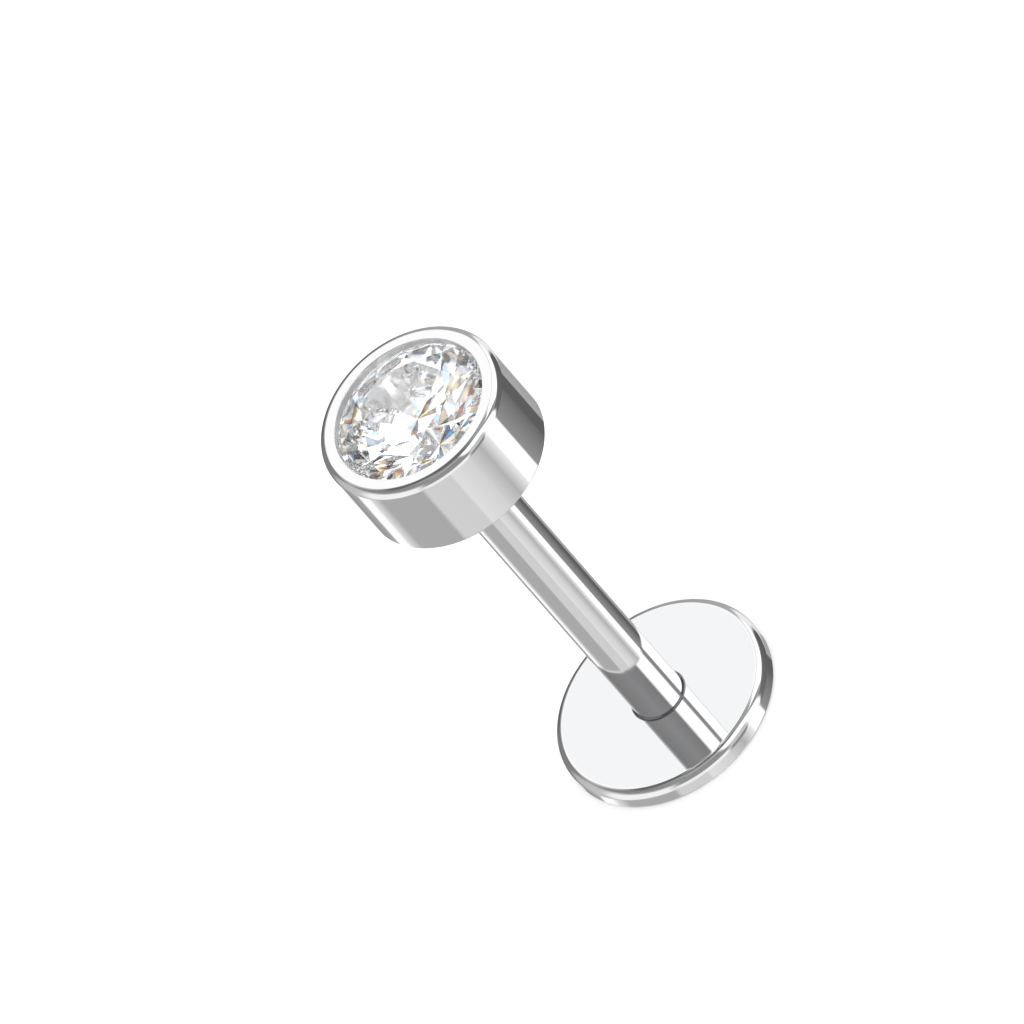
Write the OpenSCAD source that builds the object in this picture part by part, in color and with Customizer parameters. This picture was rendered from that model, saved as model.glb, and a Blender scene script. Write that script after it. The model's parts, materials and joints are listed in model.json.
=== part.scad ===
// Flat-back labret stud: a round post on a flat disc, and a push-fit head whose bezel
// holds a round brilliant. Millimetres. The stud stands on the disc's back, with its
// origin at the middle of that face and +Z along the post towards the head.

/* [Post] */
// Diameter of the post, 16 gauge
post_d = 1.2; // [1.0:0.1:2.0]
// Free length of the post between the disc and the head
post_len = 9.1; // [7:0.1:14]
// Radius of the fillet where the post stands on the disc
foot_fillet = 0.05; // [0.02:0.01:0.1]
// Rounding of the outer edge at the post's mouth
mouth_round = 0.04; // [0.02:0.01:0.08]
// Length of the post above the disc that stays solid under the bore
solid_foot = 2.8; // [1:0.1:5]

/* [Disc] */
// Diameter of the flat disc
disc_d = 5.0; // [3:0.1:7]
// Thickness of the disc
disc_t = 0.5; // [0.45:0.05:1]
// Rounding of the disc's edge on the skin side
disc_front_round = 0.2; // [0.05:0.01:0.22]
// Rounding of the disc's edge on the back
disc_back_round = 0.06; // [0.04:0.01:0.2]

/* [Push pin] */
// Diameter of the pin under the head
pin_d = 0.5; // [0.4:0.05:0.6]
// Gap between the pin and the bore, on each side
bore_clear = 0.05; // [0.02:0.01:0.08]
// Free depth of the bore past the pin's tip
bore_spare = 0.3; // [0.1:0.1:1]
// Chamfer at the pin's tip and at the bore's mouth
lead_in = 0.05; // [0.02:0.01:0.08]

/* [Bezel] */
// Width of the rim, from the opening to the outside of the head
rim_w = 0.395; // [0.3:0.005:0.8]
// Depth of the straight wall inside the rim, down to the stone
lip_depth = 0.17; // [0.08:0.01:0.4]
// How far the rim laps over the stone's edge
lip_cover = 0.065; // [0.03:0.005:0.12]
// Rounding of the rim's outer edge
rim_round = 0.19; // [0.05:0.01:0.25]
// Rounding of the head's lower edge
base_round = 0.06; // [0.03:0.01:0.15]
// Metal under the stone's point
floor_t = 0.22; // [0.2:0.01:1]

/* [Stone] */
// Diameter of the stone at its girdle
stone_d = 3.62; // [3:0.01:6]
// Diameter of the table, across its corners
table_d = 2.1; // [1.5:0.05:2.4]
// Slope of the main facets above the girdle, in degrees
crown_slope = 32; // [25:0.5:36]
// Slope of the main facets below the girdle, in degrees
pavilion_slope = 40; // [38:0.25:43]
// Thickness of the girdle
girdle_t = 0.07; // [0.03:0.01:0.15]
// How far the star facets reach from the table to the girdle, as a share
star_reach = 0.5; // [0.4:0.05:0.6]
// How far the lower facets reach from the girdle to the point, as a share
lower_reach = 0.78; // [0.6:0.01:0.85]

/* [Gaps] */
// Gap between the post's mouth and the head's underside
seat_gap = 0.02; // [0.01:0.01:0.1]
// Gap between the stone and its seat
stone_gap = 0.02; // [0.01:0.01:0.05]

/* [Hidden] */
$fn = 96;
post_r = post_d / 2;
disc_r = disc_d / 2;
pin_r = pin_d / 2;
bore_r = pin_r + bore_clear;
bore_depth = post_len - solid_foot;
pin_len = bore_depth + seat_gap - bore_spare;
pin_root = floor_t / 2;
mouth_z = disc_t + post_len;
head_z = mouth_z + seat_gap;

// The stone: radius and height of each ring of corners, heights from the girdle's top
sides = 8;
half_side = 180 / sides;
girdle_r = stone_d / 2;
table_r = table_d / 2;
table_h = (girdle_r - table_r) * tan(crown_slope);
star_r = table_r + (girdle_r - table_r) * star_reach;
star_h = table_h - (star_r * cos(half_side) - table_r) * tan(crown_slope);
pavilion_h = girdle_r * tan(pavilion_slope);
point_h = -girdle_t - pavilion_h;
lower_r = girdle_r * (1 - lower_reach);
lower_h = point_h + lower_r * cos(half_side) * tan(pavilion_slope);

// The head: the steepest facet above the girdle sets the slope under the rim
upper_slope = star_h / (girdle_r - star_r);
opening_r = girdle_r - lip_cover;
head_r = opening_r + rim_w;
groove_r = girdle_r + stone_gap;
seat_drop = lower_r * (1 - cos(half_side)) * tan(pavilion_slope) + 2 * stone_gap;
girdle_z = floor_t + seat_drop - point_h;
head_h = girdle_z + lip_cover * upper_slope + stone_gap + lip_depth;
overcut = 1;

// Half outline of a round plate with a rounded upper and lower edge
module plate_outline(r, h, top_round, low_round) {
    polygon([[0, 0], [r - low_round, 0], [r, low_round], [r, h - top_round], [r - top_round, h], [0, h]]);
    translate([r - top_round, h - top_round]) circle(top_round);
    translate([r - low_round, low_round]) circle(low_round);
}

// Half outline of the pin, which hangs from the head's floor and ends in a chamfer
module pin_outline() {
    polygon([
        [0, pin_root], [pin_r, pin_root], [pin_r, lead_in - pin_len],
        [pin_r - lead_in, -pin_len], [0, -pin_len]
    ]);
}

module flat_back_post() {
    color("silver") rotate_extrude() difference() {
        union() {
            plate_outline(disc_r, disc_t, disc_front_round, disc_back_round);
            polygon([
                [0, disc_t / 2], [post_r, disc_t / 2], [post_r, mouth_z - mouth_round],
                [post_r - mouth_round, mouth_z], [0, mouth_z]
            ]);
            translate([post_r - mouth_round, mouth_z - mouth_round]) circle(mouth_round);
            foot_outline();
        }
        bore_outline();
    }
}

// Ring of metal that fills the corner between the post and the disc
module foot_outline() {
    difference() {
        translate([post_r - foot_fillet, disc_t - foot_fillet]) square(2 * foot_fillet);
        translate([post_r + foot_fillet, disc_t + foot_fillet]) circle(foot_fillet);
    }
}

// Blind bore for the pin, open at the post's mouth
module bore_outline() {
    bore_z = mouth_z - bore_depth;
    polygon([
        [-overcut, bore_z], [bore_r, bore_z], [bore_r, mouth_z - lead_in],
        [bore_r + lead_in, mouth_z], [bore_r + lead_in, mouth_z + overcut], [-overcut, mouth_z + overcut]
    ]);
}

module bezel_setting() {
    color("silver") translate([0, 0, head_z]) union() {
        rotate_extrude() difference() {
            plate_outline(head_r, head_h, rim_round, base_round);
            cup_outline();
        }
        rotate_extrude() pin_outline();
    }
}

// Hollow for the stone: seat, groove for the girdle and opening inside the rim
module cup_outline() {
    groove_low = girdle_z - girdle_t - stone_gap;
    polygon([
        [-overcut, floor_t], [0, floor_t], [groove_r, groove_low - stone_gap],
        [groove_r, girdle_z + stone_gap], [opening_r, head_h - lip_depth],
        [opening_r, head_h + overcut], [-overcut, head_h + overcut]
    ]);
}

function ring(r, h, count, turn) =
    [for (i = [0:count - 1]) [r * cos(turn + i * 360 / count), r * sin(turn + i * 360 / count), h]];

// Round brilliant: each ring of corners starts where the one before it ends
module round_stone() {
    table = 0;
    star = table + sides;
    girdle = star + sides;
    below = girdle + 2 * sides;
    lower = below + 2 * sides;
    point = lower + sides;
    corners = concat(
        ring(table_r, table_h, sides, 0),
        ring(star_r, star_h, sides, half_side),
        ring(girdle_r, 0, 2 * sides, 0),
        ring(girdle_r, -girdle_t, 2 * sides, 0),
        ring(lower_r, lower_h, sides, half_side),
        [[0, 0, point_h]]
    );
    facets = concat(
        [[for (i = [0:sides - 1]) table + sides - 1 - i]],
        [for (i = [0:sides - 1]) each let(
            next = (i + 1) % sides, last = (i + sides - 1) % sides,
            here = 2 * i, middle = 2 * i + 1, far = 2 * next
        ) [
            [table + i, table + next, star + i],
            [table + i, star + i, girdle + here, star + last],
            [star + i, girdle + middle, girdle + here],
            [star + i, girdle + far, girdle + middle],
            [girdle + here, girdle + middle, below + middle, below + here],
            [girdle + middle, girdle + far, below + far, below + middle],
            [lower + i, below + here, below + middle],
            [lower + i, below + middle, below + far],
            [point, lower + last, below + here, lower + i]
        ]]
    );
    color("lightcyan") translate([0, 0, head_z + girdle_z]) polyhedron(corners, facets);
}

flat_back_post();
bezel_setting();
round_stone();
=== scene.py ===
"""Labret stud: the finish of its metal and stone, and the studio it stands in.

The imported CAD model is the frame. Its three nodes are stood for by three pieces of the same
size and place, with a finer surface: a turned post on its disc, a turned bezel with its pin,
and a round brilliant that is ground facet by facet.
"""

import json
from collections import namedtuple
from math import atan, cos, hypot, pi, radians, sin, tan

import bmesh
import bpy
from mathutils import Matrix, Vector


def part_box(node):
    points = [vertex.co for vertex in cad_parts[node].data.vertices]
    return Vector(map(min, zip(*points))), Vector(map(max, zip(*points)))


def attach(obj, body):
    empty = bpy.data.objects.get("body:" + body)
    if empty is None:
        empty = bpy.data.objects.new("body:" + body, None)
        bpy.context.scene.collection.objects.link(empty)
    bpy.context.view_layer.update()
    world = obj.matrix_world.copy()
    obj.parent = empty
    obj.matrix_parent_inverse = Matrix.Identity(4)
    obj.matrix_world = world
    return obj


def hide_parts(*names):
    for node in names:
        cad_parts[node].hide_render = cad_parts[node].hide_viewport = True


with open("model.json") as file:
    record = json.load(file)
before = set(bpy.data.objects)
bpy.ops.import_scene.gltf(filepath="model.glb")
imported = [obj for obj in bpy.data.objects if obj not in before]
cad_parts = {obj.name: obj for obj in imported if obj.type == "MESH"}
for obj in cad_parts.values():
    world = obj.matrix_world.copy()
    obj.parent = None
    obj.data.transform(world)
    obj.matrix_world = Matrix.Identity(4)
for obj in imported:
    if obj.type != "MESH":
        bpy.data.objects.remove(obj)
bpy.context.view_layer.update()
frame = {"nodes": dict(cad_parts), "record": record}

bl_info = {
    "name": "Labret stud",
    "version": (1, 0, 0),
    "blender": (4, 5, 0),
    "location": "View3D > Sidebar > Stud",
    "description": "Makes a flat-back labret stud with a bezel-set stone, and a small studio for it",
    "category": "Add Mesh",
}

# Lengths are in metres, as in the frame, and the pieces are shaped in millimetres, because
# Blender's bevel and merge tools take very short lengths for zero
MM = 0.001
MERGE_MM = 1e-5
GRIND_MM = 1e-4

# Faces round a turned piece, and round each of its rounded edges
TURN_STEPS = 256
BACK_STEPS = 12
FRONT_STEPS = 16
FOOT_STEPS = 8
MOUTH_STEPS = 6
BASE_STEPS = 8
RIM_STEPS = 20
LIP_STEPS = 4

# The stone has eight of each large facet
STONE_SIDES = 8
EIGHTH = 2 * pi / STONE_SIDES

# How many times light may be mirrored or bent on its way
LIGHT_PATH = 48

# Faces that meet at less than this angle are shaded as one smooth surface
SMOOTH_ANGLE = radians(32)


def reach(node):
    """How far a node of the frame reaches from the stud's axis."""
    return max(hypot(v.co.x, v.co.y) for v in frame["nodes"][node].data.vertices)


POST_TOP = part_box("flat_back_post")[1].z
PIN_TIP, RIM_TOP = (corner.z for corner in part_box("bezel_setting"))
STONE_POINT, STONE_TOP = (corner.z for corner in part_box("round_stone"))
WORN_LENGTH = next(m for m in frame["record"]["mounts"] if m["name"] == "worn_length")


def length(name, description, default):
    """A length that the user may change, in Blender's own unit."""
    return bpy.props.FloatProperty(
        name=name, description=description, default=default, min=0, precision=5, unit="LENGTH"
    )


def angle(name, description, default):
    """An angle that the user may change, given here in degrees."""
    return bpy.props.FloatProperty(
        name=name, description=description, default=radians(default), subtype="ANGLE"
    )


def share(name, description, default):
    """A share from 0 to 1 that the user may change."""
    return bpy.props.FloatProperty(
        name=name, description=description, default=default, min=0, max=1, subtype="FACTOR"
    )


def number(name, description, default):
    """A plain number that the user may change."""
    return bpy.props.FloatProperty(name=name, description=description, default=default, min=0)


def tint(name, description, default):
    """A colour that the user may change."""
    return bpy.props.FloatVectorProperty(
        name=name, description=description, default=default, size=3, min=0, max=1, subtype="COLOR"
    )


class StudPostSizes(bpy.types.PropertyGroup):
    """Sizes of the disc and of the post that stands on it."""

    disc_radius: length("Disc radius", "Radius of the flat disc", reach("flat_back_post"))
    disc_thickness: length("Disc thickness", "Thickness of the flat disc", 0.5 * MM)
    front_round: length("Front round", "Rounding of the disc's edge on the skin side", 0.2 * MM)
    back_round: length("Back round", "Rounding of the disc's edge on the back", 0.06 * MM)
    post_radius: length("Post radius", "Radius of the post", WORN_LENGTH["dims"]["r_mm"] * MM)
    post_top: length("Post top", "Height of the post's mouth above the disc's back", POST_TOP)
    foot_fillet: length("Foot fillet", "Fillet between the post and the disc", 0.05 * MM)
    mouth_round: length("Mouth round", "Rounding of the post's outer edge at its mouth", 0.04 * MM)
    bore_radius: length("Bore radius", "Radius of the bore that takes the pin", 0.3 * MM)
    bore_end: length("Bore end", "Height of the bore's floor above the disc's back", 3.3 * MM)
    lead_in: length("Lead-in", "Chamfer at the bore's mouth and at the pin's tip", 0.05 * MM)


class StudBezelSizes(bpy.types.PropertyGroup):
    """Sizes of the cup that holds the stone, and of its pin."""

    seat_gap: length("Seat gap", "Gap between the post's mouth and the head's underside", 0.02 * MM)
    head_radius: length("Head radius", "Outer radius of the cup", reach("bezel_setting"))
    rim_width: length("Rim width", "Width of the rim, from its opening to its outside", 0.395 * MM)
    rim_round: length("Rim round", "Rounding of the rim's outer edge", 0.19 * MM)
    base_round: length("Base round", "Rounding of the head's lower edge", 0.06 * MM)
    lip_depth: length("Lip depth", "Depth of the straight wall inside the rim", 0.17 * MM)
    lip_round: length("Lip round", "Rounding of the rim's inner edge", 0.015 * MM)
    floor_thickness: length("Floor", "Metal under the stone's point", 0.22 * MM)
    stone_gap: length("Stone gap", "Gap between the stone and its seat", 0.02 * MM)
    pin_radius: length("Pin radius", "Radius of the pin under the head", 0.25 * MM)


class StudStoneSizes(bpy.types.PropertyGroup):
    """Proportions of the round brilliant."""

    girdle_radius: length("Girdle radius", "Radius of the stone at its corners", reach("round_stone"))
    table_radius: length("Table radius", "Radius of the table at its corners", 1.05 * MM)
    crown_slope: angle("Crown slope", "Slope of the main facets above the girdle", 32)
    pavilion_slope: angle("Pavilion slope", "Slope of the main facets below the girdle", 40)
    star_reach: share("Star reach", "How far the star facets reach from table to girdle", 0.5)
    lower_reach: share("Lower reach", "How far the lower facets reach to the point", 0.78)


class StudFinish(bpy.types.PropertyGroup):
    """Colours and polish of the metal and the stone, with shade painted at the post's foot and on the
    disc's flat.
    """

    head_tint: tint("Head", "Colour of the head's polished steel", (0.93, 0.93, 0.935))
    post_tint: tint("Post", "Colour of the post's polished steel", (0.93, 0.93, 0.935))
    # Painted shade: the disc's flat is darker and bluer than the post's steel it is turned with, for the
    # dimmer light it mirrors
    disc_shaded_tint: tint("Disc", "Colour of the disc's polished flat", (0.865, 0.87, 0.88))
    head_roughness: share("Head roughness", "Roughness of the head's polish", 0.03)
    post_roughness: share("Post roughness", "Roughness of the post's polish", 0.07)
    disc_roughness: share("Disc roughness", "Roughness of the disc's polish", 0.04)
    unevenness: share("Unevenness", "How far the polish varies from place to place", 0.35)
    mark_depth: length("Mark depth", "Depth of the finest polishing marks", 0.00008 * MM)
    mark_spacing: length("Mark spacing", "Distance between the polishing marks", 0.03 * MM)
    # Painted shade: a dark colour in the fillet at the post's foot, standing in for the shade in that
    # corner
    foot_shade_tint: tint("Corner", "Colour at the post's foot, where no wheel polishes", (0.2, 0.2, 0.21))
    seat_tint: tint("Seat", "Colour of the silvered seat under the stone", (1.0, 1.0, 1.0))
    lip_tint: tint("Lip", "Colour of the straight wall inside the rim", (0.9, 0.9, 0.91))
    corner_roughness: share("Corner roughness", "Roughness of the corner at the post's foot", 0.22)
    seat_roughness: share("Seat roughness", "Roughness of the seat under the stone", 0.14)
    lip_roughness: share("Lip roughness", "Roughness of the straight wall inside the rim", 0.45)
    stone_tint: tint("Stone", "Colour of the clear stone", (1.0, 1.0, 1.0))
    stone_index: number("Refractive index", "How strongly the stone bends light", 2.3)
    facet_wave: length("Facet wave", "How far the stone's facets are from flat", 0.04 * MM)
    wave_spacing: length("Wave spacing", "Distance between the waves on a facet", 1.1 * MM)


class StudStudio(bpy.types.PropertyGroup):
    """The floor, the light and the camera."""

    floor_tint: tint("Floor", "Colour of the floor", (0.9, 0.9, 0.9))
    floor_size: length("Floor size", "Width of the floor", 1.0)
    backdrop: number("Backdrop", "Brightness of what is behind the floor", 0.99)
    dome: number("Dome", "Strength of the soft light that falls on the floor", 1.5)
    view_width: length("View width", "Width of the camera's view at the stud", 21.48 * MM)
    aim_side: length("Aim side", "How far right of the axis the view's middle lies", 0.22 * MM)
    aim_height: length("Aim height", "Height on the stud at the view's middle", 7.45 * MM)
    elevation: angle("Elevation", "How high the camera stands above the floor", 44.6)
    roll: angle("Roll", "How far the camera leans, which turns the stud's head left", 41.15)
    lens: number("Lens", "Focal length of the camera in millimetres", 1200)


SENSOR_WIDTH = 36.0


def metres(bm, name):
    """Closes up a shape that was worked in millimetres and makes it an object in metres."""
    bmesh.ops.scale(bm, vec=(MM, MM, MM), verts=bm.verts)
    mesh = bpy.data.meshes.new(name)
    bm.to_mesh(mesh)
    bm.free()
    piece = bpy.data.objects.new(name, mesh)
    bpy.context.scene.collection.objects.link(piece)
    return piece


Corner = namedtuple("Corner", "radius height round segments", defaults=(0, 1))


def turned(name, corners):
    """A piece turned on the lathe, from the corners of its half outline in metres.

    The outline starts and ends on the axis. Each corner is rounded by cutting it back by
    its own length along both sides.
    """
    bm = bmesh.new()
    points = [bm.verts.new((c.radius / MM, 0, c.height / MM)) for c in corners]
    for start, end in zip(points, points[1:]):
        bm.edges.new((start, end))
    for point, corner in zip(points, corners):
        if corner.round:
            bmesh.ops.bevel(
                bm, geom=[point], affect="VERTICES", offset_type="OFFSET",
                offset=corner.round / MM, segments=corner.segments, profile=0.5, material=-1,
            )
    bmesh.ops.spin(
        bm, geom=bm.verts[:] + bm.edges[:], cent=(0, 0, 0), axis=(0, 0, 1), dvec=(0, 0, 0),
        angle=2 * pi, steps=TURN_STEPS, use_merge=True, use_duplicate=False,
    )
    bmesh.ops.remove_doubles(bm, verts=bm.verts, dist=MERGE_MM)
    bmesh.ops.recalc_face_normals(bm, faces=bm.faces)
    for face in bm.faces:
        face.smooth = True
    shading = [corner_normal(corner) for face in bm.faces for corner in face.loops]
    piece = metres(bm, name)
    piece.data.normals_split_custom_set(shading)
    return piece


def corner_normal(corner):
    """The shading at a face's corner, ruled by the largest face, so that a flat shows no bend."""
    facing = corner.face.normal
    total = Vector()
    for face in corner.vert.link_faces:
        if face.normal.angle(facing) < SMOOTH_ANGLE:
            total += face.normal * face.calc_area() ** 3
    return total.normalized()


def grind(bm, turn, slope, through):
    """Grinds one facet: takes off all that is outside a plane through a point."""
    facing = Vector((sin(slope) * cos(turn), sin(slope) * sin(turn), cos(slope)))
    cut = bmesh.ops.bisect_plane(
        bm, geom=bm.verts[:] + bm.edges[:] + bm.faces[:], dist=GRIND_MM,
        plane_co=through, plane_no=facing, clear_outer=True,
    )
    rim = [g for g in cut["geom_cut"] if isinstance(g, bmesh.types.BMEdge)]
    bmesh.ops.contextual_create(bm, geom=rim)


def on_ring(radius, height, turn):
    """A point at a distance from the axis, at a height and turned round the axis."""
    return Vector((radius * cos(turn), radius * sin(turn), height))


def slope_between(outer, inner, turn):
    """Slope of the facet that faces turn and holds an outer and an inner corner."""
    facing = Vector((cos(turn), sin(turn), 0))
    run = (outer - inner).dot(facing)
    return atan((inner.z - outer.z) / run)


def brilliant(name, sizes, top, point):
    """A round brilliant ground from a rod, its table at one height and its point at another."""
    girdle_r = sizes.girdle_radius / MM
    table_r = sizes.table_radius / MM
    table_z = top / MM
    point_z = point / MM
    girdle_z = table_z - (girdle_r - table_r) * tan(sizes.crown_slope)
    below_z = point_z + girdle_r * tan(sizes.pavilion_slope)
    star_r = table_r + (girdle_r - table_r) * sizes.star_reach
    star_z = table_z - (star_r * cos(EIGHTH / 2) - table_r) * tan(sizes.crown_slope)
    lower_r = girdle_r * (1 - sizes.lower_reach)
    lower_z = point_z + lower_r * cos(EIGHTH / 2) * tan(sizes.pavilion_slope)

    bm = bmesh.new()
    bmesh.ops.create_cone(
        bm, cap_ends=True, cap_tris=False, segments=2 * STONE_SIDES, radius1=girdle_r, radius2=girdle_r,
        depth=4 * girdle_r, matrix=Matrix.Translation((0, 0, girdle_z)),
    )
    grind(bm, 0, 0, Vector((0, 0, table_z)))
    for i in range(STONE_SIDES):
        here = i * EIGHTH
        middle = here + EIGHTH / 2
        grind(bm, here, sizes.crown_slope, on_ring(girdle_r, girdle_z, here))
        grind(bm, here, pi - sizes.pavilion_slope, on_ring(girdle_r, below_z, here))
        table_corner = on_ring(table_r, table_z, here)
        star_corner = on_ring(star_r, star_z, middle)
        grind(bm, middle, slope_between(star_corner, table_corner, middle), star_corner)
        lower_corner = on_ring(lower_r, lower_z, middle)
        for side in (-1, 1):
            turn = middle + side * EIGHTH / 4
            crown_corner = on_ring(girdle_r, girdle_z, middle)
            grind(bm, turn, slope_between(crown_corner, star_corner, turn), crown_corner)
            under_corner = on_ring(girdle_r, below_z, middle)
            under = slope_between(under_corner, lower_corner, turn)
            grind(bm, turn, pi + under, under_corner)
    bmesh.ops.remove_doubles(bm, verts=bm.verts, dist=GRIND_MM)
    bmesh.ops.recalc_face_normals(bm, faces=bm.faces)
    return metres(bm, name)


def node(tree, kind, place=(0, 0), **settings):
    """A node of a shader tree, with its own settings."""
    made = tree.nodes.new(kind)
    made.location = place
    for key, value in settings.items():
        setattr(made, key, value)
    return made


def group_input(tree, name, kind="NodeSocketFloat"):
    """An input of a node group."""
    tree.interface.new_socket(name, in_out="INPUT", socket_type=kind)


def group_output(tree, name):
    """An output of a node group, a plain value."""
    tree.interface.new_socket(name, in_out="OUTPUT", socket_type="NodeSocketFloat")


def feed(tree, socket, value):
    """Gives a socket what another socket puts out, or a plain value."""
    if isinstance(value, bpy.types.NodeSocket):
        tree.links.new(value, socket)
    else:
        socket.default_value = value


def maths(tree, operation, *values):
    """A Math node on sockets and plain numbers, and its result."""
    made = node(tree, "ShaderNodeMath", operation=operation)
    for socket, value in zip(made.inputs, values):
        feed(tree, socket, value)
    return made.outputs["Value"]


def fade(tree, value, low, high, start, end):
    """A smooth change from start to end, as value goes from low to high."""
    made = node(tree, "ShaderNodeMapRange", interpolation_type="SMOOTHSTEP")
    names = ("Value", "From Min", "From Max", "To Min", "To Max")
    for name, amount in zip(names, (value, low, high, start, end)):
        feed(tree, made.inputs[name], amount)
    return made.outputs["Result"]


def mixed(tree, kind, factor, start, end):
    """A colour or a value that goes from start to end as the factor goes from 0 to 1."""
    made = node(tree, "ShaderNodeMix", data_type=kind)
    for name, value in (("Factor", factor), ("A", start), ("B", end)):
        feed(tree, made.inputs[name], value)
    return made.outputs["Result"]


def card_group():
    """Node group: where a studio card stands, and how far along it a direction points."""
    tree = bpy.data.node_groups.new("Studio card", "ShaderNodeTree")
    for name in ("Turn", "Height", "Left", "Right", "Low", "High", "Softness"):
        group_input(tree, name)
    group_output(tree, "Mask")
    group_output(tree, "Along")
    given = node(tree, "NodeGroupInput").outputs
    middle = maths(tree, "MULTIPLY", maths(tree, "ADD", given["Left"], given["Right"]), 0.5)
    half = maths(tree, "MULTIPLY", maths(tree, "SUBTRACT", given["Right"], given["Left"]), 0.5)
    offset = maths(tree, "WRAP", maths(tree, "SUBTRACT", given["Turn"], middle), 180, -180)
    soft = maths(tree, "MULTIPLY", given["Softness"], 0.5)
    inner = maths(tree, "SUBTRACT", half, soft)
    outer = maths(tree, "ADD", half, soft)
    across = fade(tree, maths(tree, "ABSOLUTE", offset), inner, outer, 1, 0)
    bottom = fade(
        tree, given["Height"], maths(tree, "SUBTRACT", given["Low"], soft),
        maths(tree, "ADD", given["Low"], soft), 0, 1,
    )
    top = fade(
        tree, given["Height"], maths(tree, "SUBTRACT", given["High"], soft),
        maths(tree, "ADD", given["High"], soft), 1, 0,
    )
    along = maths(tree, "DIVIDE", maths(tree, "ADD", offset, half), maths(tree, "MULTIPLY", half, 2))
    result = node(tree, "NodeGroupOutput").inputs
    tree.links.new(maths(tree, "MULTIPLY", maths(tree, "MULTIPLY", across, bottom), top), result["Mask"])
    tree.links.new(along, result["Along"])
    return tree


# Cards round the stud, as the metal sees them. Turn is counted in degrees from the camera
# towards the right, height in degrees above level, and a card's brightness runs from its
# left end to its right end
Card = namedtuple("Card", "name left right low high start end softness")
CARDS = (
    Card("Ceiling", -180, 180, 64, 90, 0.36, 0.36, 10),
    Card("Left back wall", -162, -132, -38, 60, 0.2, 0.24, 12),
    Card("Left wall", -134, -96, -38, 40, 0.5, 0.6, 12),
    Card("Left sheet", -102, -42, -38, 26, 0.95, 0.95, 14),
    Card("Front wall", -38, 16, -2, 42, 0.3, 0.28, 12),
    Card("Front sheet", -42, 16, -42, -1, 0.9, 0.95, 8),
    Card("Right of front", 17, 42, -12, 34, 0.6, 0.55, 8),
    Card("Right shade", 19, 41, -42, -8, 0.26, 0.26, 6),
    Card("Right window", 42, 68, -42, 40, 1.1, 1.1, 6),
    Card("Right wall", 68, 128, -42, 22, 0.16, 0.1, 8),
    Card("Right back sheet", 129, 148, -38, 32, 0.9, 0.9, 8),
    Card("Right far wall", 147, 180, -38, 34, 0.42, 0.34, 6),
    Card("Far wall", 174, 202, -38, 22, 0.16, 0.12, 8),
    Card("High left", -128, -38, 38, 66, 0.23, 0.29, 12),
    Card("High front", -44, 12, 38, 52, 0.29, 0.23, 12),
    Card("High window", 14, 66, 34, 72, 1.35, 1.35, 12),
    Card("High bar", 67, 84, 32, 60, 0.28, 0.28, 8),
    Card("High back window", 85, 148, 28, 64, 1.35, 1.35, 5),
    Card("High right back", 147, 166, 34, 58, 0.85, 0.85, 5),
    Card("High left back", -160, -126, 38, 56, 0.7, 0.2, 8),
    Card("Back beam", -195, -100, 58, 80, 0.12, 0.14, 6),
    Card("Back panel", 163, 201, 36, 56, 1.05, 1.05, 6),
    Card("Ceiling hole", -180, 180, 78, 90, 0.14, 0.14, 6),
    Card("Low back", 163, 196, -90, -41, 0.8, 0.9, 5),
    Card("Low left grey", -164, -138, -90, -41, 0.28, 0.42, 5),
    Card("Low left window", -137, -117, -90, -41, 1.1, 1.0, 5),
    Card("Low left fall", -119, -102, -90, -41, 0.8, 0.42, 5),
    Card("Low left wall", -104, -48, -90, -41, 0.43, 0.42, 4),
    Card("Low front", -49, -12, -90, -41, 0.67, 0.66, 6),
    Card("Low front light", -13, 18, -90, -41, 0.8, 0.68, 4),
    Card("Low front fall", 16, 34, -90, -41, 0.66, 0.48, 4),
    Card("Low window edge", 33, 52, -90, -41, 0.46, 0.95, 4),
    Card("Low window", 50, 73, -90, -41, 1.15, 1.15, 4),
    Card("Low right fall", 73, 112, -90, -41, 0.3, 0.15, 3),
    Card("Low right gap", 111, 134, -90, -41, 0.12, 0.12, 4),
    Card("Low right grey", 134, 164, -90, -41, 0.42, 0.36, 4),
)

# Brightness of the studio between the cards, and a height past the pole, where a card that
# reaches the pole ends, so that its soft edge doesn't show there
BETWEEN = 0.4
PAST_POLE = 100


def tent(tree):
    """The colour of the studio's walls in every direction, as the metal mirrors it."""
    way = node(tree, "ShaderNodeTexCoord").outputs["Generated"]
    parts = node(tree, "ShaderNodeSeparateXYZ")
    tree.links.new(way, parts.inputs["Vector"])
    turned_right = maths(
        tree, "ARCTAN2", parts.outputs["X"], maths(tree, "MULTIPLY", parts.outputs["Y"], -1)
    )
    turn = maths(tree, "DEGREES", turned_right)
    height = maths(tree, "DEGREES", maths(tree, "ARCSINE", parts.outputs["Z"]))
    group = card_group()
    shade = BETWEEN
    for card in CARDS:
        stands = node(tree, "ShaderNodeGroup", node_tree=group, label=card.name)
        tree.links.new(turn, stands.inputs["Turn"])
        tree.links.new(height, stands.inputs["Height"])
        stands.inputs["Left"].default_value = card.left
        stands.inputs["Right"].default_value = card.right
        stands.inputs["Low"].default_value = card.low if card.low > -90 else -PAST_POLE
        stands.inputs["High"].default_value = card.high if card.high < 90 else PAST_POLE
        stands.inputs["Softness"].default_value = card.softness
        along = node(tree, "ShaderNodeMapRange")
        tree.links.new(stands.outputs["Along"], along.inputs["Value"])
        along.inputs["To Min"].default_value = card.start
        along.inputs["To Max"].default_value = card.end
        shade = mixed(tree, "FLOAT", stands.outputs["Mask"], shade, along.outputs["Result"])
    return shade


# What the stone gathers from the studio: dim and bright patches by direction. Each pair is a
# value of the soft random pattern and the brightness there, as a share of the brightest
GATHERED = (
    (0.0, 0.005), (0.43, 0.01), (0.445, 0.18), (0.495, 0.46), (0.5, 0.54), (0.55, 0.68), (0.57, 0.95)
)

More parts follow.
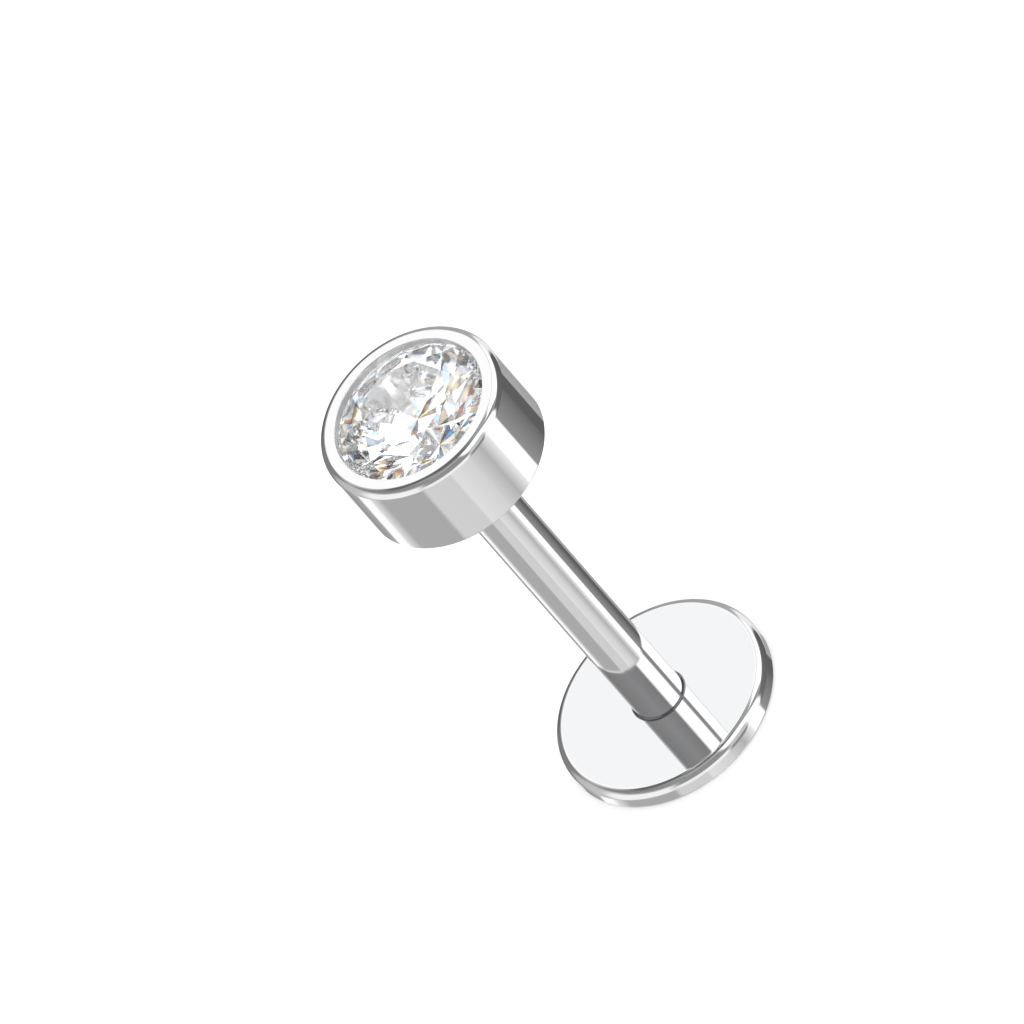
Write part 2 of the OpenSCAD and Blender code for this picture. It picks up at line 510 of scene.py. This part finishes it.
# Fineness of the pattern, how far it is moved, and the strength of the brightest light. The move
# was picked by trial, for the stone's look from the photograph's angle
PATCH_SCALE = 1.5
PATCH_PLACE = (3.66, -3.36, -10.05)
SPARKLE = 2.0

# How far the colours part at the edge of a patch, and a second pattern that says which way
PARTING = {"Red": 0.1, "Green": 0.01, "Blue": -0.1}
PARTING_SCALE = 3.0
PARTING_PLACE = (-2.5, 3.7, -3.9)
PARTING_MIDDLE = 0.52


def noise(tree, way, scale, detail, offset):
    """A soft random pattern of values from 0 to 1, by direction."""
    moved = node(tree, "ShaderNodeMapping")
    moved.inputs["Location"].default_value = offset
    tree.links.new(way, moved.inputs["Vector"])
    made = node(tree, "ShaderNodeTexNoise")
    made.inputs["Scale"].default_value = scale
    made.inputs["Detail"].default_value = detail
    tree.links.new(moved.outputs["Vector"], made.inputs["Vector"])
    return made.outputs["Fac"]


def fire(tree):
    """Light and shade in all directions for the stone alone, with coloured fringes.

    Where a cut stone parts white light, the edge of a shade lies further round for red than
    for blue, or the other way.
    """
    way = node(tree, "ShaderNodeTexCoord").outputs["Generated"]
    patch = noise(tree, way, PATCH_SCALE, 1, PATCH_PLACE)
    second = noise(tree, way, PARTING_SCALE, 0, PARTING_PLACE)
    parting = maths(tree, "SUBTRACT", second, PARTING_MIDDLE)
    colour = node(tree, "ShaderNodeCombineColor")
    for channel, shift in PARTING.items():
        ramp = node(tree, "ShaderNodeValToRGB")
        tree.links.new(maths(tree, "MULTIPLY_ADD", parting, shift, patch), ramp.inputs["Fac"])
        ramp.color_ramp.elements.remove(ramp.color_ramp.elements[1])
        ramp.color_ramp.elements[0].position = GATHERED[0][0]
        ramp.color_ramp.elements[0].color = (*[GATHERED[0][1]] * 3, 1)
        for start, shade in GATHERED[1:]:
            ramp.color_ramp.elements.new(start).color = (*[shade] * 3, 1)
        tree.links.new(ramp.outputs["Color"], colour.inputs[channel])
    return colour.outputs["Color"]


def light(studio):
    """Lights the studio: a soft dome for the floor, cards for the metal, fire for the stone."""
    world = bpy.data.worlds.new("Studio tent")
    bpy.context.scene.world = world
    world.use_nodes = True
    tree = world.node_tree
    tree.nodes.clear()
    path = node(tree, "ShaderNodeLightPath").outputs
    dome = node(tree, "ShaderNodeBackground")
    dome.inputs["Color"].default_value = (1, 1, 1, 1)
    dome.inputs["Strength"].default_value = studio.dome
    behind = node(tree, "ShaderNodeBackground")
    behind.inputs["Strength"].default_value = studio.backdrop
    behind.inputs["Color"].default_value = (1, 1, 1, 1)
    walls = node(tree, "ShaderNodeBackground")
    tree.links.new(tent(tree), walls.inputs["Color"])
    sparks = node(tree, "ShaderNodeBackground")
    tree.links.new(fire(tree), sparks.inputs["Color"])
    sparks.inputs["Strength"].default_value = SPARKLE
    shader = dome.outputs[0]
    for ray, background in (
        ("Is Camera Ray", behind), ("Is Glossy Ray", walls), ("Is Transmission Ray", sparks),
    ):
        mix = node(tree, "ShaderNodeMixShader")
        tree.links.new(path[ray], mix.inputs[0])
        tree.links.new(shader, mix.inputs[1])
        tree.links.new(background.outputs[0], mix.inputs[2])
        shader = mix.outputs[0]
    out = node(tree, "ShaderNodeOutputWorld")
    tree.links.new(shader, out.inputs["Surface"])


def floor(studio):
    """The plain pale floor. The metal doesn't mirror it, so that the tent shows below level too."""
    half = studio.floor_size / 2
    bm = bmesh.new()
    bmesh.ops.create_grid(bm, x_segments=1, y_segments=1, size=half)
    mesh = bpy.data.meshes.new("studio_floor")
    bm.to_mesh(mesh)
    bm.free()
    piece = bpy.data.objects.new("studio_floor", mesh)
    bpy.context.scene.collection.objects.link(piece)
    piece.visible_glossy = False
    piece.visible_transmission = False
    material = bpy.data.materials.new("Pale floor")
    material.use_nodes = True
    surface = material.node_tree.nodes["Principled BSDF"].inputs
    surface["Base Color"].default_value = (*studio.floor_tint, 1)
    surface["Roughness"].default_value = 1
    surface["Specular IOR Level"].default_value = 0
    mesh.materials.append(material)


def camera(studio):
    """The camera, at the photograph's angle above the floor and leaning as it does."""
    data = bpy.data.cameras.new("Stud camera")
    data.sensor_width = SENSOR_WIDTH
    data.lens = studio.lens
    view = bpy.data.objects.new("Stud camera", data)
    bpy.context.scene.collection.objects.link(view)
    back = Vector((0, -cos(studio.elevation), sin(studio.elevation)))
    away = studio.view_width * studio.lens / SENSOR_WIDTH
    aim = Vector((studio.aim_side, 0, studio.aim_height))
    stand = Matrix.Translation(aim + back * away)
    look = Matrix.Rotation(pi / 2 - studio.elevation, 4, "X")
    lean = Matrix.Rotation(-studio.roll, 4, "Z")
    view.matrix_world = stand @ look @ lean
    data.clip_start = away / 10
    data.clip_end = 10 * studio.floor_size
    bpy.context.scene.camera = view


# Patches of uneven gloss to the millimetre
GLOSS_PATCHES = 0.8


def turned_place(tree, place):
    """Distance from the stud's axis and height of a place, and its two parts across."""
    parts = node(tree, "ShaderNodeSeparateXYZ")
    tree.links.new(place, parts.inputs["Vector"])
    x, y, z = (parts.outputs[axis] for axis in "XYZ")
    squares = maths(tree, "ADD", maths(tree, "MULTIPLY", x, x), maths(tree, "MULTIPLY", y, y))
    return maths(tree, "SQRT", squares), z, x, y


def polish_group():
    """Node group: the marks that polishing leaves round a turned piece, and its uneven gloss."""
    tree = bpy.data.node_groups.new("Polishing marks", "ShaderNodeTree")
    group_input(tree, "Place", "NodeSocketVector")
    group_input(tree, "Spacing")
    group_input(tree, "Roughness")
    group_input(tree, "Unevenness")
    group_output(tree, "Roughness")
    group_output(tree, "Height")
    given = node(tree, "NodeGroupInput").outputs
    radius, height, x, y = turned_place(tree, given["Place"])
    round_it = node(tree, "ShaderNodeCombineXYZ")
    tree.links.new(maths(tree, "DIVIDE", x, radius), round_it.inputs["X"])
    tree.links.new(maths(tree, "DIVIDE", y, radius), round_it.inputs["Y"])
    along = maths(tree, "DIVIDE", maths(tree, "ADD", radius, height), given["Spacing"])
    tree.links.new(along, round_it.inputs["Z"])
    marks = node(tree, "ShaderNodeTexNoise")
    marks.inputs["Scale"].default_value = 1
    marks.inputs["Detail"].default_value = 2
    tree.links.new(round_it.outputs["Vector"], marks.inputs["Vector"])
    patches = node(tree, "ShaderNodeTexNoise")
    patches.inputs["Scale"].default_value = GLOSS_PATCHES / MM
    patches.inputs["Detail"].default_value = 3
    tree.links.new(given["Place"], patches.inputs["Vector"])
    swing = maths(tree, "MULTIPLY", maths(tree, "SUBTRACT", patches.outputs["Fac"], 0.5), 2)
    varied = maths(tree, "MULTIPLY_ADD", swing, given["Unevenness"], 1)
    result = node(tree, "NodeGroupOutput").inputs
    tree.links.new(maths(tree, "MULTIPLY", varied, given["Roughness"]), result["Roughness"])
    tree.links.new(marks.outputs["Fac"], result["Height"])
    return tree


def band_group():
    """Node group: marks a band round a turned piece, between two radii and two heights."""
    tree = bpy.data.node_groups.new("Band round the axis", "ShaderNodeTree")
    group_input(tree, "Place", "NodeSocketVector")
    for name in ("Inner", "Outer", "Low", "High", "Softness"):
        group_input(tree, name)
    group_output(tree, "Mask")
    given = node(tree, "NodeGroupInput").outputs
    radius, height, _, _ = turned_place(tree, given["Place"])
    soft = maths(tree, "MULTIPLY", given["Softness"], 0.5)
    mask = 1
    for value, limit, start, end in (
        (radius, "Inner", 0, 1), (radius, "Outer", 1, 0), (height, "Low", 0, 1), (height, "High", 1, 0),
    ):
        before = maths(tree, "SUBTRACT", given[limit], soft)
        after = maths(tree, "ADD", given[limit], soft)
        mask = maths(tree, "MULTIPLY", fade(tree, value, before, after, start, end), mask)
    tree.links.new(mask, node(tree, "NodeGroupOutput").inputs["Mask"])
    return tree


def shared_group(name, make):
    """A node group that more than one material uses, made when it is first asked for."""
    return bpy.data.node_groups.get(name) or make()


# A band round a metal piece with a colour and roughness of its own, on the post painted shade:
# its radii, heights and the softness of its edges in metres, and its colour and roughness
Band = namedtuple("Band", "inner outer low high softness colour roughness")


def metal(name, finish, colour, roughness, bands):
    """Polished steel with fine marks round it, and with bands of their own colour and roughness.

    On the post, the bands' colours are painted shade: a dark foot and a darker disc flat.
    """
    material = bpy.data.materials.new(name)
    material.use_nodes = True
    tree = material.node_tree
    surface = tree.nodes["Principled BSDF"].inputs
    surface["Metallic"].default_value = 1
    place = node(tree, "ShaderNodeTexCoord", (-1500, 0)).outputs["Object"]

    group = shared_group("Polishing marks", polish_group)
    marks = node(tree, "ShaderNodeGroup", (-1200, -300), node_tree=group)
    tree.links.new(place, marks.inputs["Place"])
    marks.inputs["Spacing"].default_value = finish.mark_spacing
    marks.inputs["Roughness"].default_value = roughness
    marks.inputs["Unevenness"].default_value = finish.unevenness
    bump = node(tree, "ShaderNodeBump", (-400, -400))
    bump.inputs["Distance"].default_value = finish.mark_depth
    tree.links.new(marks.outputs["Height"], bump.inputs["Height"])
    tree.links.new(bump.outputs["Normal"], surface["Normal"])

    group = shared_group("Band round the axis", band_group)
    shade = (*colour, 1)
    gloss = marks.outputs["Roughness"]
    for step, band in enumerate(bands):
        ring = node(tree, "ShaderNodeGroup", (-1000 + 250 * step, 300), node_tree=group)
        tree.links.new(place, ring.inputs["Place"])
        for limit, amount in zip(("Inner", "Outer", "Low", "High", "Softness"), band):
            ring.inputs[limit].default_value = amount
        mask = ring.outputs["Mask"]
        shade = mixed(tree, "RGBA", mask, shade, (*band.colour, 1))
        gloss = mixed(tree, "FLOAT", mask, gloss, band.roughness)
    tree.links.new(shade, surface["Base Color"])
    tree.links.new(gloss, surface["Roughness"])
    return material


# Haze on the stone: the values of its pattern where it starts and is full, its roughness there,
# and how many times finer it is than the waves
HAZE_STARTS = 0.5
HAZE_FULL = 0.8
HAZE_ROUGHNESS = 0.02
HAZE_FINER = 3


def stone(finish):
    """Clear cut stone, whose facets are gently waved and polished a little unevenly."""
    material = bpy.data.materials.new("Clear stone")
    material.use_nodes = True
    tree = material.node_tree
    surface = tree.nodes["Principled BSDF"].inputs
    surface["Base Color"].default_value = (*finish.stone_tint, 1)
    surface["IOR"].default_value = finish.stone_index
    surface["Transmission Weight"].default_value = 1
    place = node(tree, "ShaderNodeTexCoord", (-1000, 0)).outputs["Object"]
    wave = node(tree, "ShaderNodeTexNoise", (-700, -200))
    wave.inputs["Scale"].default_value = 1 / finish.wave_spacing
    wave.inputs["Detail"].default_value = 0
    tree.links.new(place, wave.inputs["Vector"])
    bump = node(tree, "ShaderNodeBump", (-400, -200))
    bump.inputs["Distance"].default_value = finish.facet_wave
    tree.links.new(wave.outputs["Fac"], bump.inputs["Height"])
    tree.links.new(bump.outputs["Normal"], surface["Normal"])
    haze = node(tree, "ShaderNodeTexNoise", (-700, 100))
    haze.inputs["Scale"].default_value = HAZE_FINER / finish.wave_spacing
    haze.inputs["Detail"].default_value = 2
    tree.links.new(place, haze.inputs["Vector"])
    dull = fade(tree, haze.outputs["Fac"], HAZE_STARTS, HAZE_FULL, 0, HAZE_ROUGHNESS)
    tree.links.new(dull, surface["Roughness"])
    return material


class STUD_OT_studio(bpy.types.Operator):
    """Makes the floor, the light and the camera"""

    bl_idname = "stud.studio"
    bl_label = "Studio"

    def execute(self, context):
        studio = context.scene.stud_studio
        floor(studio)
        light(studio)
        camera(studio)
        context.scene.view_settings.view_transform = "Standard"
        # Light is thrown about in the stone many times before it leaves, so it isn't cut short
        paths = context.scene.cycles
        paths.max_bounces = LIGHT_PATH
        paths.glossy_bounces = LIGHT_PATH
        paths.transmission_bounces = LIGHT_PATH
        return {"FINISHED"}


class STUD_OT_flat_back_post(bpy.types.Operator):
    """Turns the disc and the post from one piece, and bores the post for the pin"""

    bl_idname = "stud.flat_back_post"
    bl_label = "Flat-back post"

    def execute(self, context):
        sizes = context.scene.stud_post
        finish = context.scene.stud_finish
        if sizes.post_radius <= sizes.bore_radius + sizes.lead_in:
            raise ValueError("the bore leaves no wall in the post")
        post = turned("flat_back_post_turned", (
            Corner(0, 0),
            Corner(sizes.disc_radius, 0, sizes.back_round, BACK_STEPS),
            Corner(sizes.disc_radius, sizes.disc_thickness, sizes.front_round, FRONT_STEPS),
            Corner(sizes.post_radius, sizes.disc_thickness, sizes.foot_fillet, FOOT_STEPS),
            Corner(sizes.post_radius, sizes.post_top, sizes.mouth_round, MOUTH_STEPS),
            Corner(sizes.bore_radius + sizes.lead_in, sizes.post_top),
            Corner(sizes.bore_radius, sizes.post_top - sizes.lead_in),
            Corner(sizes.bore_radius, sizes.bore_end),
            Corner(0, sizes.bore_end),
        ))
        # Painted shade: a dark band round the fillet where the post meets the disc, for the shade that
        # falls in that corner
        corner = Band(
            sizes.post_radius - sizes.foot_fillet, sizes.post_radius + sizes.foot_fillet,
            sizes.disc_thickness - sizes.foot_fillet, sizes.disc_thickness + sizes.foot_fillet,
            sizes.foot_fillet / 2, finish.foot_shade_tint, finish.corner_roughness,
        )
        # Painted shade: the disc's flat gets a darker, bluish colour than the post, standing in for the
        # dimmer light it mirrors
        disc = Band(
            sizes.post_radius, sizes.disc_radius - sizes.front_round,
            sizes.disc_thickness - sizes.foot_fillet, sizes.disc_thickness + sizes.foot_fillet / 2,
            sizes.foot_fillet / 2, finish.disc_shaded_tint, finish.disc_roughness,
        )
        post.data.materials.append(
            metal("Polished post", finish, finish.post_tint, finish.post_roughness, [disc, corner])
        )
        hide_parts("flat_back_post")
        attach(post, "back")
        return {"FINISHED"}


class STUD_OT_bezel_setting(bpy.types.Operator):
    """Turns the cup with its rim, its seat for the stone and its pin"""

    bl_idname = "stud.bezel_setting"
    bl_label = "Bezel setting"

    def execute(self, context):
        sizes = context.scene.stud_bezel
        post = context.scene.stud_post
        stone_sizes = context.scene.stud_stone
        finish = context.scene.stud_finish
        base = post.post_top + sizes.seat_gap
        opening = sizes.head_radius - sizes.rim_width
        groove = stone_sizes.girdle_radius + sizes.stone_gap
        if opening >= stone_sizes.girdle_radius:
            raise ValueError("the rim doesn't hold the stone")
        crown = (stone_sizes.girdle_radius - stone_sizes.table_radius) * tan(stone_sizes.crown_slope)
        girdle_top = STONE_TOP - crown
        girdle_low = STONE_POINT + stone_sizes.girdle_radius * tan(stone_sizes.pavilion_slope)
        setting = turned("bezel_setting_turned", (
            Corner(0, PIN_TIP),
            Corner(sizes.pin_radius - post.lead_in, PIN_TIP),
            Corner(sizes.pin_radius, PIN_TIP + post.lead_in),
            Corner(sizes.pin_radius, base),
            Corner(sizes.head_radius, base, sizes.base_round, BASE_STEPS),
            Corner(sizes.head_radius, RIM_TOP, sizes.rim_round, RIM_STEPS),
            Corner(opening, RIM_TOP, sizes.lip_round, LIP_STEPS),
            Corner(opening, RIM_TOP - sizes.lip_depth),
            Corner(groove, girdle_top + sizes.stone_gap),
            Corner(groove, girdle_low - 2 * sizes.stone_gap),
            Corner(0, base + sizes.floor_thickness),
        ))
        seat = Band(
            -groove, groove + sizes.stone_gap, base + sizes.floor_thickness / 2, girdle_top,
            sizes.stone_gap, finish.seat_tint, finish.seat_roughness,
        )
        lip = Band(
            opening - sizes.lip_round, opening + sizes.lip_round / 2, RIM_TOP - sizes.lip_depth,
            RIM_TOP - sizes.lip_round, sizes.lip_round, finish.lip_tint, finish.lip_roughness,
        )
        setting.data.materials.append(
            metal("Polished head", finish, finish.head_tint, finish.head_roughness, [seat, lip])
        )
        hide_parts("bezel_setting")
        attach(setting, "head")
        return {"FINISHED"}


class STUD_OT_round_stone(bpy.types.Operator):
    """Grinds the round brilliant and sets it in the cup"""

    bl_idname = "stud.round_stone"
    bl_label = "Round stone"

    def execute(self, context):
        sizes = context.scene.stud_stone
        gem = brilliant("round_stone_cut", sizes, STONE_TOP, STONE_POINT)
        gem.data.materials.append(stone(context.scene.stud_finish))
        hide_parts("round_stone")
        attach(gem, "head")
        return {"FINISHED"}


class STUD_PT_maker(bpy.types.Panel):
    """Lists the makers of the stud's pieces and their sizes"""

    bl_idname = "STUD_PT_maker"
    bl_label = "Labret stud"
    bl_space_type = "VIEW_3D"
    bl_region_type = "UI"
    bl_category = "Stud"

    def draw(self, context):
        layout = self.layout
        layout.use_property_split = True
        for maker, group in MAKERS:
            box = layout.box()
            box.operator(maker.bl_idname)
            sizes = getattr(context.scene, group)
            for name in sizes.bl_rna.properties.keys():
                if name not in ("rna_type", "name"):
                    box.prop(sizes, name)
        finish = layout.box()
        finish.label(text="Finish")
        for name in context.scene.stud_finish.bl_rna.properties.keys():
            if name not in ("rna_type", "name"):
                finish.prop(context.scene.stud_finish, name)


MAKERS = (
    (STUD_OT_studio, "stud_studio"),
    (STUD_OT_flat_back_post, "stud_post"),
    (STUD_OT_bezel_setting, "stud_bezel"),
    (STUD_OT_round_stone, "stud_stone"),
)
GROUPS = {
    "stud_post": StudPostSizes,
    "stud_bezel": StudBezelSizes,
    "stud_stone": StudStoneSizes,
    "stud_finish": StudFinish,
    "stud_studio": StudStudio,
}


def register():
    """Registers the property groups, the operators and the panel."""
    for name, group in GROUPS.items():
        bpy.utils.register_class(group)
        setattr(bpy.types.Scene, name, bpy.props.PointerProperty(type=group))
    for maker, _ in MAKERS:
        bpy.utils.register_class(maker)
    bpy.utils.register_class(STUD_PT_maker)


def unregister():
    """Takes out what register put in."""
    bpy.utils.unregister_class(STUD_PT_maker)
    for maker, _ in reversed(MAKERS):
        bpy.utils.unregister_class(maker)
    for name, group in reversed(GROUPS.items()):
        delattr(bpy.types.Scene, name)
        bpy.utils.unregister_class(group)


def main():
    """Makes the studio and the stud."""
    register()
    bpy.ops.stud.studio()
    bpy.ops.stud.flat_back_post()
    bpy.ops.stud.bezel_setting()
    bpy.ops.stud.round_stone()


if __name__ == "__main__":
    main()
